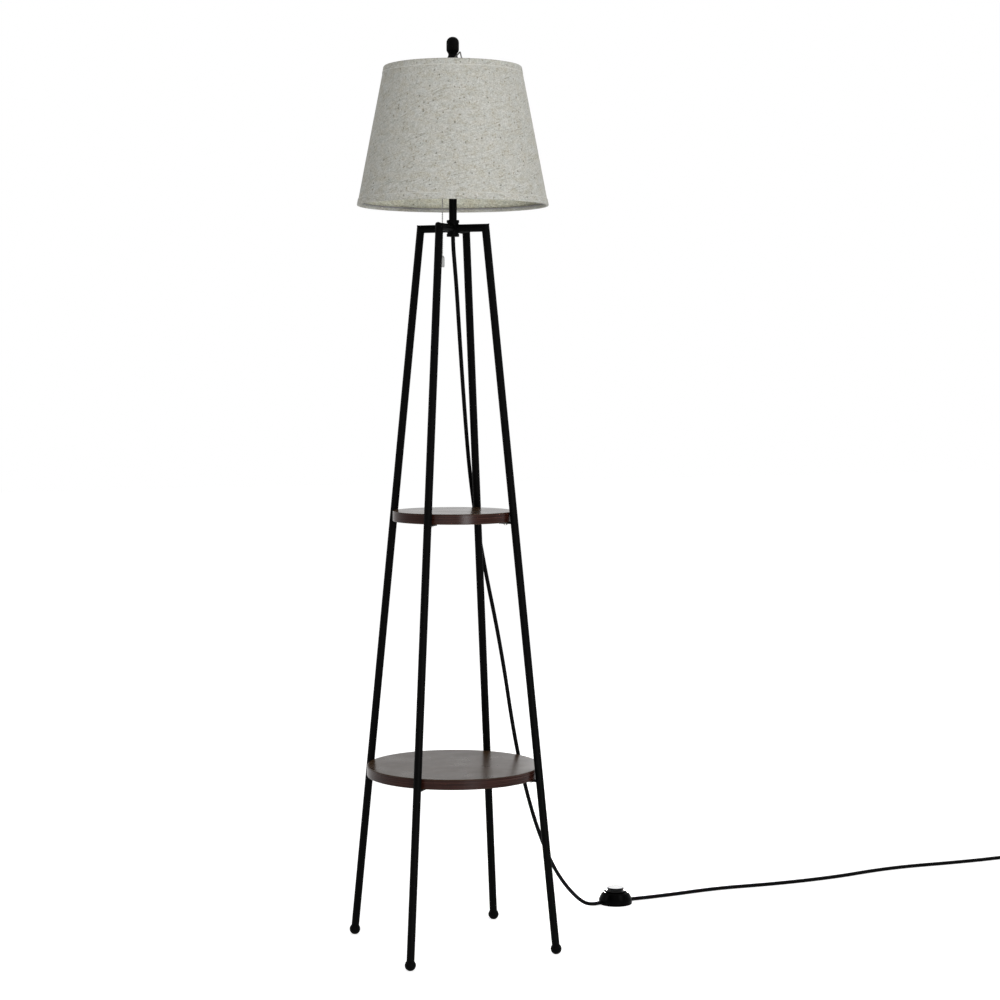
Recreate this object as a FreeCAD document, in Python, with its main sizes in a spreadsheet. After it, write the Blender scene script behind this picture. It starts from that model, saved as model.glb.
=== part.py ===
import FreeCAD, Part
import math
import os
import Sketcher

# Floor lamp with two round shelves, in millimetres.
# Origin: on the floor, on the lamp's axis. +Z up. The four feet stand on a square whose
# sides are parallel to X and Y, so the legs lie at 45 degrees to both axes.

doc = FreeCAD.newDocument("shelf_floor_lamp")
vector = FreeCAD.Vector

driving_dimensions = [
    # frame
    ("total_height", 1480.0, "floor to the top of the finial"),
    ("tube_diameter", 12.7, "legs, arms and stem"),
    ("tube_wall", 1.2, "legs, arms and stem"),
    ("arm_height", 1173.0, "centre line of the four arms"),
    ("arm_reach", 56.8, "axis to the mitred corner"),
    ("foot_reach", 179.3, "axis to the centre of a ball foot"),
    ("ball_diameter", 18.0, "ball feet"),
    ("ball_flat", 0.5, "depth of the flat under each ball"),
    ("hub_length", 26.6, "spool that the arms are welded to"),
    ("flange_diameter", 20.4, "ends of the spool"),
    ("flange_thickness", 4.6, "ends of the spool"),
    ("barrel_diameter", 18.0, "middle of the spool"),
    ("stem_length", 40.7, "from the spool up to the harp saddle"),
    ("rod_diameter", 9.6, "threaded rod through spool and stem"),
    ("rod_bore", 7.0, "way for the cord"),
    # shelves
    ("upper_shelf_top", 715.4, "height of the upper shelf"),
    ("upper_shelf_diameter", 196.8, "upper board"),
    ("lower_shelf_top", 298.4, "height of the lower shelf"),
    ("lower_shelf_diameter", 284.0, "lower board"),
    ("board_thickness", 16.6, "both boards"),
    ("board_round", 1.2, "rounding of the boards' edges"),
    ("tab_length", 18.0, "shelf tab, inwards from the leg"),
    ("tab_width", 12.0, "shelf tab"),
    ("tab_thickness", 2.5, "shelf tab"),
    ("screw_diameter", 3.8, "shelf screws, shank"),
    ("screw_head_diameter", 7.2, "shelf screws, head"),
    ("screw_head_height", 2.2, "shelf screws, head"),
    ("screw_depth", 11.0, "shelf screws, into the board"),
    # shade
    ("shade_bottom", 1209.6, "lower rim"),
    ("shade_top", 1431.7, "upper rim"),
    ("shade_bottom_diameter", 310.0, "lower rim"),
    ("shade_top_diameter", 223.2, "upper rim"),
    ("fabric_thickness", 0.8, "linen on its stiff lining"),
    ("trim_thickness", 0.45, "self-fabric band over each rim"),
    ("trim_height", 10.0, "self-fabric band over each rim"),
    ("rim_wire", 3.0, "wire rings of the shade"),
    ("spider_wire", 2.2, "spider arms"),
    ("washer_diameter", 22.0, "spider washer"),
    ("washer_thickness", 1.6, "spider washer"),
    # harp and socket
    ("harp_half_width", 47.4, "saddle nibs from the axis"),
    ("harp_height", 206.5, "stem top to the harp's crown"),
    ("harp_wire", 3.2, "harp"),
    ("stud_diameter", 6.4, "stud for shade and finial"),
    ("socket_diameter", 32.0, "lamp holder shell"),
    ("chain_reach", 18.35, "axis to the pull chain"),
    ("bead_diameter", 2.4, "pull chain"),
    ("bead_pitch", 3.4, "pull chain"),
    ("chain_top", 1249.0, "uppermost bead"),
    ("fob_top", 1128.9, "pull fob"),
    ("fob_length", 18.8, "pull fob"),
    ("fob_diameter", 6.8, "pull fob"),
    ("bulb_diameter", 60.0, "lamp bulb"),
    ("bulb_centre", 1346.0, "middle of the bulb's ball"),
    ("finial_diameter", 20.4, "finial"),
    ("running_gap", 0.06, "stud in washer and finial"),
    # cord, foot switch and plug
    ("cord_diameter", 6.7, "mains cord"),
    ("switch_x", 370.8, "foot switch on the floor"),
    ("switch_y", 144.9, "foot switch on the floor"),
    ("switch_turn", 3.0, "foot switch, degrees about Z"),
    ("switch_diameter", 59.2, "foot switch, widest"),
    ("switch_lip_height", 21.2, "raised lip round the button"),
    ("switch_height", 29.2, "top of the button"),
    ("button_diameter", 29.8, "foot button"),
    ("cord_entry", 4.0, "height of the cord where it enters the switch"),
    ("plug_x", 1344.0, "plug on the floor, cord end"),
    ("plug_y", 6.0, "plug on the floor, cord end"),
    ("plug_width", 24.0, "plug"),
    ("plug_thickness", 14.0, "plug"),
]

sheet = doc.addObject("Spreadsheet::Sheet", "dims")
for line, (alias, number, note) in enumerate(driving_dimensions, start=1):
    sheet.set("A%d" % line, note)
    sheet.set("B%d" % line, str(number))
    sheet.setAlias("B%d" % line, alias)
doc.recompute()

# Heights that several pieces share, as sheet formulas.
hub_bottom = "(dims.arm_height - dims.hub_length / 2)"
hub_top = "(dims.arm_height + dims.hub_length / 2)"
stem_top = "(%s + dims.stem_length)" % hub_top
ball_height = "(dims.ball_diameter / 2 - dims.ball_flat)"
leg_lean = "atan((dims.foot_reach - dims.arm_reach) / (dims.arm_height - %s))" % ball_height
crown = "(%s + dims.harp_height)" % stem_top
stud_foot = "(%s + 2.2)" % crown
washer_bottom = "(%s + 2.1)" % stud_foot
finial_bottom = "(%s + dims.washer_thickness + 0.2)" % washer_bottom

leg_angles = {"front_left": 225, "front_right": 315, "back_right": 45, "back_left": 135}
spider_angles = (-83.3, 36.7, 156.7)
nodes = []


def value(formula):
    return float(sheet.evalExpression(str(formula)))


def keep(piece, name):
    # Names a finished sub-part, so that it is checked and written.
    piece.Label = name
    nodes.append(piece)
    return piece


def place(piece, x=0, y=0, z=0, axis=(0, 0, 1), degrees=0):
    # Binds a Placement to sheet formulas.
    spot = "create(<<vector>>; %s; %s; %s)" % (x, y, z)
    turn = "create(<<rotation>>; create(<<vector>>; %s; %s; %s); %s)" % (axis + (degrees,))
    piece.setExpression("Placement", "create(<<placement>>; %s; %s)" % (spot, turn))
    return piece


def solid(kind, name, **sizes):
    # A Part primitive with its sizes bound to the sheet.
    piece = doc.addObject("Part::" + kind, name)
    for size, formula in sizes.items():
        piece.setExpression(size, str(formula))
    return piece


def cut(name, base, *tools):
    result = base
    for count, tool in enumerate(tools, start=1):
        step = doc.addObject("Part::Cut", name if count == len(tools) else "%s_cut%d" % (name, count))
        step.Base = result
        step.Tool = tool
        result = step
    return result


def fuse(name, *pieces):
    result = doc.addObject("Part::MultiFuse", name)
    result.Shapes = list(pieces)
    return result


def group(name, pieces):
    # Several like pieces that share one node as separate solids.
    result = doc.addObject("Part::Compound", name)
    result.Links = list(pieces)
    return keep(result, name)


def origin_plane(body, role):
    return [item for item in body.Origin.OriginFeatures if item.Role == role][0]


def new_sketch(body, name, role, height=None):
    sketch = body.newObject("Sketcher::SketchObject", name)
    sketch.AttachmentSupport = (origin_plane(body, role), [""])
    sketch.MapMode = "FlatFace"
    if height is not None:
        sketch.setExpression("AttachmentOffset.Base.z", str(height))
    return sketch


def pin_point(sketch, geometry, end, across, up):
    # Fixes one point of a sketch at sheet formulas.
    for kind, formula in (("DistanceX", across), ("DistanceY", up)):
        number = sketch.addConstraint(Sketcher.Constraint(kind, -1, 1, geometry, end, value(formula)))
        sketch.setExpression("Constraints[%d]" % number, str(formula))


def outline(sketch, corners):
    # A closed outline of straight lines. A third entry in a corner, "arc", with a point
    # on the arc, makes the stretch from that corner to the next one an arc.
    spots = [vector(value(corner[0]), value(corner[1]), 0) for corner in corners]
    total = len(corners)
    ends = []
    for index, corner in enumerate(corners):
        start = spots[index]
        finish = spots[(index + 1) % total]
        if len(corner) > 2:
            middle = vector(value(corner[3]), value(corner[4]), 0)
            arc = Part.Arc(start, middle, finish)
            geometry = sketch.addGeometry(arc, False)
            drawn = sketch.Geometry[geometry]
            forward = drawn.StartPoint.distanceToPoint(start) < drawn.StartPoint.distanceToPoint(finish)
            point = sketch.addGeometry(Part.Point(middle), True)
            pin_point(sketch, point, 1, corner[3], corner[4])
            sketch.addConstraint(Sketcher.Constraint("PointOnObject", point, 1, geometry))
            ends.append((geometry, 1, 2) if forward else (geometry, 2, 1))
        else:
            geometry = sketch.addGeometry(Part.LineSegment(start, finish), False)
            ends.append((geometry, 1, 2))
    for index, corner in enumerate(corners):
        after = ends[(index + 1) % total]
        sketch.addConstraint(Sketcher.Constraint("Coincident", ends[index][0], ends[index][2],
                                                 after[0], after[1]))
        pin_point(sketch, ends[index][0], ends[index][1], corner[0], corner[1])


def circle(sketch, radius, across=0, up=0):
    spot = vector(value(across), value(up), 0)
    index = sketch.addGeometry(Part.Circle(spot, vector(0, 0, 1), value(radius)), False)
    number = sketch.addConstraint(Sketcher.Constraint("Radius", index, value(radius)))
    sketch.setExpression("Constraints[%d]" % number, str(radius))
    pin_point(sketch, index, 3, across, up)


def lathe(name, corners):
    # A turned piece: corners are (radius, height) formulas.
    body = doc.addObject("PartDesign::Body", name)
    sketch = new_sketch(body, name + "_profile", "XZ_Plane")
    outline(sketch, corners)
    turned = body.newObject("PartDesign::Revolution", name + "_turned")
    turned.Profile = sketch
    turned.ReferenceAxis = (sketch, ["V_Axis"])
    turned.Angle = 360
    return body


def circular_edges(shape, radius, height):
    # Names of the round edges with this radius at this height.
    names = []
    for number, edge in enumerate(shape.Edges, start=1):
        curve = edge.Curve
        if hasattr(curve, "Radius") and abs(curve.Radius - value(radius)) < 0.01:
            if abs(curve.Center.z - value(height)) < 0.01:
                names.append("Edge%d" % number)
    return names


def round_off(body, size, *spots):
    # Rounds the circular edges at the given (radius, height) spots.
    doc.recompute()
    base = body.Tip
    names = []
    for radius, height in spots:
        names += circular_edges(base.Shape, radius, height)
    fillet = body.newObject("PartDesign::Fillet", body.Name + "_round")
    fillet.Base = (base, names)
    fillet.setExpression("Radius", str(size))
    return body


# ---- routes of cords and wires -------------------------------------------------------

def rounded_route(points):
    # Straight runs joined by tangent arcs. Each arc is as large as its two runs allow.
    spots = [vector(*point) for point in points]
    edges = []
    radii = []
    here = spots[0]
    for before, corner, after in zip(spots, spots[1:], spots[2:]):
        incoming = (corner - before).normalize()
        outgoing = (after - corner).normalize()
        half_turn = incoming.getAngle(outgoing) / 2
        shorter = min(before.distanceToPoint(corner), corner.distanceToPoint(after))
        reach = 0.45 * shorter
        radius = reach / math.tan(half_turn)
        start = corner - incoming * reach
        finish = corner + outgoing * reach
        inward = (outgoing - incoming).normalize()
        middle = corner + inward * (radius / math.cos(half_turn) - radius)
        edges.append(Part.LineSegment(here, start).toShape())
        edges.append(Part.Arc(start, middle, finish).toShape())
        radii.append(radius)
        here = finish
    edges.append(Part.LineSegment(here, spots[-1]).toShape())
    return Part.Wire(edges), radii


def round_tube(points, radius):
    # One unbroken round tube along a route.
    route, radii = rounded_route(points)
    start = vector(*points[0])
    along = vector(*points[1]) - start
    section = Part.Wire([Part.Circle(start, along, radius).toShape()])
    shape = route.makePipeShell([section], True, False)
    return shape, route.Length, radii


def tube_piece(name, points, radius, report=False):
    shape, length, radii = round_tube(points, radius)
    piece = doc.addObject("Part::Feature", name)
    piece.Shape = shape
    piece.Placement = FreeCAD.Placement()
    expected = math.pi * radius ** 2 * length
    if abs(shape.Volume / expected - 1) > 0.01:
        raise ValueError("%s: volume %.0f, expected %.0f" % (name, shape.Volume, expected))
    if report:
        print(name, "length %.0f mm," % length, "smallest radius %.0f mm" % min(radii))
        print("   radii", " ".join("%.0f" % size for size in radii))
    return piece


# ---- frame: spool, arms, legs and ball feet ------------------------------------------

def build_hub():
    flange = "dims.flange_diameter / 2"
    barrel = "dims.barrel_diameter / 2"
    bore = "dims.rod_diameter / 2"
    low_step = hub_bottom + " + dims.flange_thickness"
    high_step = hub_top + " - dims.flange_thickness"
    hub = lathe("hub", [(bore, hub_bottom), (flange, hub_bottom), (flange, low_step),
                        (barrel, low_step), (barrel, high_step), (flange, high_step),
                        (flange, hub_top), (bore, hub_top)])
    keep(round_off(hub, 0.6, (flange, hub_bottom), (flange, hub_top)), "hub")


def mitre_box(name, side):
    # Removes everything past the mitre plane of the corner between arm and leg.
    box = solid("Box", name, Length="60", Width="60", Height="60")
    tilt = "(90 deg - %s) / 2" % leg_lean
    push = "0" if side == "outer" else "60"
    # The box's own corner is moved so that one face lies in the mitre plane.
    x = "dims.arm_reach - %s * cos(%s) - 30 * sin(%s)" % (push, tilt, tilt)
    z = "dims.arm_height + %s * sin(%s) - 30 * cos(%s)" % (push, tilt, tilt)
    return place(box, x, "-30", z, (0, 1, 0), tilt)


def build_arm(side, degrees):
    name = "arm_" + side
    outer = solid("Cylinder", name + "_outside", Radius="dims.tube_diameter / 2",
                  Height="dims.arm_reach + 20")
    inner = solid("Cylinder", name + "_inside",
                  Radius="dims.tube_diameter / 2 - dims.tube_wall", Height="dims.arm_reach + 20")
    for piece in (outer, inner):
        place(piece, 0, 0, "dims.arm_height", (0, 1, 0), 90)
    barrel = solid("Cylinder", name + "_barrel", Radius="dims.barrel_diameter / 2",
                   Height="dims.hub_length")
    place(barrel, 0, 0, hub_bottom)
    arm = cut(name, outer, inner, barrel, mitre_box(name + "_mitre", "outer"))
    keep(place(arm, degrees=degrees), name)


def leg_cylinder(name, radius, extra="20"):
    leg = solid("Cylinder", name, Radius=radius,
                Height="(dims.arm_height - %s) / cos(%s) + %s" % (ball_height, leg_lean, extra))
    return place(leg, "dims.foot_reach", 0, ball_height, (0, -1, 0), leg_lean)


def build_leg(side, degrees):
    name = "leg_" + side
    outer = leg_cylinder(name + "_outside", "dims.tube_diameter / 2")
    inner = leg_cylinder(name + "_inside", "dims.tube_diameter / 2 - dims.tube_wall")
    ball = solid("Sphere", name + "_ball", Radius="dims.ball_diameter / 2")
    place(ball, "dims.foot_reach", 0, ball_height)
    leg = cut(name, outer, inner, ball, mitre_box(name + "_mitre", "inner"))
    keep(place(leg, degrees=degrees), name)


def build_foot(side, degrees):
    foot = solid("Sphere", "foot_ball_" + side, Radius="dims.ball_diameter / 2",
                 Angle1="-asin(1 - 2 * dims.ball_flat / dims.ball_diameter)")
    x = "dims.foot_reach * cos(%d)" % degrees
    y = "dims.foot_reach * sin(%d)" % degrees
    keep(place(foot, x, y, ball_height), "foot_ball_" + side)


# ---- shelves, their tabs and screws --------------------------------------------------

def leg_radius_at(height):
    # Distance of a leg's centre line from the axis at a height.
    return "(dims.arm_reach + (dims.arm_height - %s) * tan(%s))" % (height, leg_lean)


def screw_reach(underside):
    return "(%s - dims.tube_diameter / 2 - 9)" % leg_radius_at(underside)


def build_shelf(name, top, diameter):
    underside = "(%s - dims.board_thickness)" % top
    body = doc.addObject("PartDesign::Body", name)
    disc = new_sketch(body, name + "_disc", "XY_Plane", underside)
    circle(disc, "%s / 2" % diameter)
    board = body.newObject("PartDesign::Pad", name + "_board")
    board.Profile = disc
    board.setExpression("Length", "dims.board_thickness")
    round_off(body, "dims.board_round", ("%s / 2" % diameter, top), ("%s / 2" % diameter, underside))
    doc.recompute()
    whole = body.Shape.Volume
    hole = new_sketch(body, name + "_hole", "XY_Plane", underside)
    reach = screw_reach(underside)
    circle(hole, "dims.screw_diameter / 2", "%s * cos(45)" % reach, "%s * sin(45)" % reach)
    pilot = body.newObject("PartDesign::Pocket", name + "_pilot")
    pilot.Profile = hole
    pilot.Reversed = True
    pilot.setExpression("Length", "dims.screw_depth")
    pattern = body.newObject("PartDesign::PolarPattern", name + "_pilots")
    pattern.Originals = [pilot]
    pattern.Axis = (hole, ["N_Axis"])
    pattern.Angle = 360
    pattern.Occurrences = 4
    # The pattern turns about the lamp's axis, not the hole's own sketch normal.
    pattern.Axis = (origin_plane(body, "Z_Axis"), [""])
    body.Tip = pattern
    doc.recompute()
    removed = whole - body.Shape.Volume
    expected = 4 * math.pi * value("(dims.screw_diameter / 2) ^ 2 * dims.screw_depth")
    if abs(removed / expected - 1) > 0.01:
        raise ValueError("%s: pilot holes take %.0f, expected %.0f" % (name, removed, expected))
    keep(body, name)


def build_tabs(name, top):
    underside = "(%s - dims.board_thickness)" % top
    inner_end = "(%s - dims.tube_diameter / 2 - dims.tab_length)" % leg_radius_at(underside)
    tabs = []
    for side, degrees in leg_angles.items():
        label = "%s_%s" % (name, side)
        plate = solid("Box", label + "_plate", Length="dims.tab_length + 6", Width="dims.tab_width",
                      Height="dims.tab_thickness")
        place(plate, inner_end, "-dims.tab_width / 2", underside + " - dims.tab_thickness")
        hole = solid("Cylinder", label + "_hole", Radius="dims.screw_diameter / 2",
                     Height="dims.tab_thickness + 2")
        place(hole, screw_reach(underside), 0, underside + " - dims.tab_thickness - 1")
        leg = leg_cylinder(label + "_leg", "dims.tube_diameter / 2")
        tabs.append(place(cut(label, plate, hole, leg), degrees=degrees))
    group(name, tabs)


def build_screws(name, top):
    underside = "(%s - dims.board_thickness)" % top
    seat = "(%s - dims.tab_thickness)" % underside
    shank = "dims.screw_diameter / 2"
    head = "dims.screw_head_diameter / 2"
    tip = underside + " + dims.screw_depth"
    screws = []
    for side, degrees in leg_angles.items():
        screw = lathe("%s_%s" % (name, side), [
            (0, seat + " - dims.screw_head_height"),
            (head + " - 1", seat + " - dims.screw_head_height"),
            (head, seat + " - 0.8"), (head, seat), (shank, seat), (shank, tip + " - 4"), (0, tip)])
        reach = screw_reach(underside)
        place(screw, "%s * cos(%d)" % (reach, degrees), "%s * sin(%d)" % (reach, degrees), 0)
        screws.append(screw)
    group(name, screws)


# ---- stem, threaded rod and lamp holder ----------------------------------------------

def build_stem():
    wall = "dims.tube_diameter / 2 - dims.tube_wall"
    outside = "dims.tube_diameter / 2"
    keep(lathe("stem_tube", [(wall, hub_top), (outside, hub_top), (outside, stem_top),
                             (wall, stem_top)]), "stem_tube")
    bore = "dims.rod_bore / 2"
    rod = "dims.rod_diameter / 2"
    rod_foot = hub_bottom + " + 4"
    keep(lathe("threaded_rod", [(bore, rod_foot), (rod, rod_foot), (rod, stem_top + " + 15.4"),
                                (rod + " - 0.6", stem_top + " + 16"), (bore, stem_top + " + 16")]),
         "threaded_rod")
    sleeve = "dims.cord_diameter / 2"
    keep(lathe("cord_bushing", [(sleeve, hub_bottom), (rod, hub_bottom), (rod, rod_foot),
                                (sleeve, rod_foot)]), "cord_bushing")


def build_lock_nut():
    body = doc.addObject("PartDesign::Body", "rod_lock_nut")
    sketch = new_sketch(body, "lock_nut_hexagon", "XY_Plane", stem_top + " + 1.2")
    flats = "8.1"
    outline(sketch, [("%s * cos(%d)" % (flats, 60 * corner), "%s * sin(%d)" % (flats, 60 * corner))
                     for corner in range(6)])
    circle(sketch, "dims.rod_diameter / 2")
    pad = body.newObject("PartDesign::Pad", "lock_nut_thickness")
    pad.Profile = sketch
    pad.Length = 3.4
    keep(body, "rod_lock_nut")


def build_socket():
    shell = "dims.socket_diameter / 2"
    rod = "dims.rod_diameter / 2"
    neck = stem_top + " + 4.8"
    keep(lathe("socket_cap", [
        (rod, neck), ("7.6", neck), ("8.4", neck + " + 5"),
        (shell, neck + " + 13"), (shell, neck + " + 20"), (shell + " - 0.6", neck + " + 20"),
        (shell + " - 0.6", neck + " + 13.4"), ("7.6", neck + " + 5.6"),
        (rod, neck + " + 5.6")]), "socket_cap")
    keep(lathe("socket_shell", [
        (shell + " - 0.6", neck + " + 20.2"), (shell, neck + " + 20.2"), (shell, neck + " + 24"),
        (shell + " + 0.5", neck + " + 25"), (shell + " + 0.5", neck + " + 26"),
        (shell, neck + " + 27"), (shell, neck + " + 58"), (shell + " - 0.6", neck + " + 58")]),
         "socket_shell")
    keep(lathe("socket_insulator", [
        (shell + " - 1.5", neck + " + 33"), (shell + " - 0.7", neck + " + 33"),
        (shell + " - 0.7", neck + " + 59"), (shell + " - 1.5", neck + " + 59")]), "socket_insulator")
    keep(lathe("socket_block", [
        ("0", neck + " + 16"), (shell + " - 1.6", neck + " + 16"), (shell + " - 1.6", neck + " + 32"),
        ("0", neck + " + 32")]), "socket_block")
    keep(lathe("screw_shell", [
        ("13.2", neck + " + 32"), ("13.6", neck + " + 32"), ("13.6", neck + " + 57"),
        ("13.2", neck + " + 57")]), "screw_shell")
    tongue = solid("Box", "centre_contact", Length="12", Width="5", Height="1.2")
    keep(place(tongue, "-6", "-2.5", neck + " + 32"), "centre_contact")


def build_chain_switch():
    # Bell-mouthed spout on the side of the lamp holder, where the pull chain comes out.
    reach = "dims.chain_reach"
    bell = solid("Cone", "spout_bell", Radius1="3.4", Radius2="2.6", Height="5")
    place(bell, "-" + reach, 0, stem_top + " + 9")
    barrel = solid("Cylinder", "spout_barrel", Radius="2.6", Height="12")
    place(barrel, "-" + reach, 0, stem_top + " + 14")
    lug = solid("Box", "spout_lug", Length=reach, Width="4", Height="6")
    place(lug, "-" + reach, "-2", stem_top + " + 19")
    bore = solid("Cylinder", "spout_bore", Radius="dims.bead_diameter / 2 + 0.5", Height="30")
    place(bore, "-" + reach, 0, stem_top + " + 5")
    holder = solid("Cylinder", "spout_holder", Radius="dims.socket_diameter / 2", Height="40")
    place(holder, 0, 0, stem_top + " + 4")
    keep(cut("chain_spout", fuse("spout_solid", bell, barrel, lug), bore, holder), "chain_spout")

    radius = value("dims.bead_diameter / 2")
    pitch = value("dims.bead_pitch")
    top = value("dims.chain_top")
    bottom = value("dims.fob_top")
    x = -value(reach)
    count = int((top - bottom - radius) / pitch) + 1
    link = Part.makeCylinder(0.45, top - bottom, vector(x, 0, bottom))
    beads = [Part.makeSphere(radius, vector(x, 0, top - index * pitch)) for index in range(count)]
    chain = doc.addObject("Part::Feature", "pull_chain")
    chain.Shape = link.multiFuse(beads)
    chain.Placement = FreeCAD.Placement()
    keep(chain, "pull_chain")

    fob_top = "dims.fob_top"
    fob_bottom = "(dims.fob_top - dims.fob_length)"
    wide = "dims.fob_diameter / 2"
    fob = lathe("pull_fob", [
        (0, fob_bottom), (wide + " - 0.8", fob_bottom), (wide, fob_bottom + " + 1"),
        (wide, fob_top + " - 3"), ("1.9", fob_top + " - 0.8"), ("1.9", fob_top), (0, fob_top)])
    keep(place(fob, "-" + reach, 0, 0), "pull_fob")


# ---- harp, shade and finial ----------------------------------------------------------

def build_harp():
    half = "dims.harp_half_width"
    plate = "1.2"
    body = doc.addObject("PartDesign::Body", "harp_saddle")
    strip = new_sketch(body, "saddle_strip", "YZ_Plane")
    top = stem_top + " + " + plate
    tip = stem_top + " + 16"
    outline(strip, [
        ("-%s - 0.6" % half, stem_top), (half + " + 0.6", stem_top), (half + " + 0.6", tip),
        (half + " - 0.6", tip), (half + " - 0.6", top), ("-%s + 0.6" % half, top),
        ("-%s + 0.6" % half, tip), ("-%s - 0.6" % half, tip)])
    pad = body.newObject("PartDesign::Pad", "saddle_width")
    pad.Profile = strip
    pad.Length = 8
    pad.Midplane = True
    eye = new_sketch(body, "saddle_eye", "XY_Plane", stem_top)
    circle(eye, "9")
    disc = body.newObject("PartDesign::Pad", "saddle_disc")
    disc.Profile = eye
    disc.setExpression("Length", plate)
    hole = new_sketch(body, "saddle_hole", "XY_Plane", stem_top)
    circle(hole, "dims.rod_diameter / 2")
    bore = body.newObject("PartDesign::Pocket", "saddle_bore")
    bore.Profile = hole
    bore.Reversed = True
    bore.setExpression("Length", plate + " + 1")
    doc.recompute()
    if bore.Shape.Volume > disc.Shape.Volume - 1:
        raise ValueError("the saddle's bore cuts nothing")
    keep(body, "harp_saddle")

    sleeves = []
    for label, sign in (("left", -1), ("right", 1)):
        sleeve = lathe("sleeve_" + label, [
            ("4.1", stem_top + " + 5"), ("5", stem_top + " + 5"), ("4.9", stem_top + " + 18"),
            ("3", stem_top + " + 23"), ("dims.harp_wire / 2", stem_top + " + 23"),
            ("dims.harp_wire / 2", stem_top + " + 18.5"), ("4.1", stem_top + " + 17")])
        sleeves.append(place(sleeve, 0, "%d * %s" % (sign, half), 0))
    group("harp_sleeves", sleeves)

    foot = value(stem_top)
    rise = value("dims.harp_height")
    side = value(half)
    for label, sign in (("left", -1), ("right", 1)):
        # Bulges out round the bulb and closes at the crown.
        path = [(side, 16.4), (side, 36), (side + 8, 72), (side + 9.5, 115), (side + 4, 156),
                (side - 9, 190), (side - 24, rise), (9, rise)]
        points = [(0, sign * across, foot + up) for across, up in path]
        keep(tube_piece("harp_wire_" + label, points, value("dims.harp_wire / 2")),
             "harp_wire_" + label)
    crown_block = solid("Box", "harp_crown", Length="8", Width="18", Height="4.4")
    keep(place(crown_block, "-4", "-9", crown + " - 2.2"), "harp_crown")
    stud = "dims.stud_diameter / 2"
    keep(lathe("harp_stud", [
        (0, stud_foot), ("5", stud_foot), ("5", stud_foot + " + 2"), (stud, stud_foot + " + 2"),
        (stud, stud_foot + " + 15"), (stud + " - 0.8", stud_foot + " + 16"),
        (0, stud_foot + " + 16")]), "harp_stud")


def shade_radius(height):
    # Outside of the linen at a height, under the trim.
    slope = "(dims.shade_bottom_diameter - dims.shade_top_diameter) / 2"
    slope += " / (dims.shade_top - dims.shade_bottom)"
    return "(dims.shade_bottom_diameter / 2 - (%s - dims.shade_bottom) * %s - dims.trim_thickness)" % (
        height, slope)


def build_shade():
    low = "(dims.shade_bottom + dims.trim_thickness)"
    high = "(dims.shade_top - dims.trim_thickness)"
    keep(lathe("shade_fabric", [
        (shade_radius(low) + " - dims.fabric_thickness", low), (shade_radius(low), low),
        (shade_radius(high), high), (shade_radius(high) + " - dims.fabric_thickness", high)]),
         "shade_fabric")
    for label, rim, sign in (("bottom", low, 1), ("top", high, -1)):
        centre = "(%s + %d * dims.rim_wire / 2)" % (rim, sign)
        ring = solid("Torus", "shade_ring_" + label, Radius2="dims.rim_wire / 2 - 0.02",
                     Radius1=shade_radius(centre) + " - dims.fabric_thickness - dims.rim_wire / 2 - 0.1")
        keep(place(ring, 0, 0, centre), "shade_ring_" + label)
        # The band is folded over the rim: outside, across the edge and back up inside.
        edge = "(%s - %d * dims.trim_thickness)" % (rim, sign)
        end = "(%s + %d * dims.trim_height)" % (rim, sign)
        inner_end = "(%s + %d * (dims.trim_height - 4))" % (rim, sign)
        inside = " - dims.fabric_thickness - dims.rim_wire - 0.2"
        thick = "dims.trim_thickness"
        band = lathe("shade_band_" + label, [
            (shade_radius(rim), rim), (shade_radius(end), end),
            (shade_radius(end) + " + " + thick, end), (shade_radius(rim) + " + " + thick, edge),
            (shade_radius(rim) + inside + " - " + thick, edge),
            (shade_radius(inner_end) + inside + " - " + thick, inner_end),
            (shade_radius(inner_end) + inside, inner_end), (shade_radius(rim) + inside, rim)])
        slits = []
        for degrees in spider_angles:
            # The band is slit where a spider arm reaches the wire ring.
            slit = solid("Box", "slit_%s_%d" % (label, len(slits)), Length="8", Width="3.4",
                         Height="dims.rim_wire + 4")
            out = "(%s%s - 4)" % (shade_radius(centre), inside)
            side = "1.7"
            place(slit, "%s * cos(%s) + %s * sin(%s)" % (out, degrees, side, degrees),
                  "%s * sin(%s) - %s * cos(%s)" % (out, degrees, side, degrees), rim + " - 5",
                  degrees=degrees)
            slits.append(slit)
        if label == "top":
            band = cut("shade_trim_top", band, *slits)
        keep(band, "shade_trim_" + label)


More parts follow.
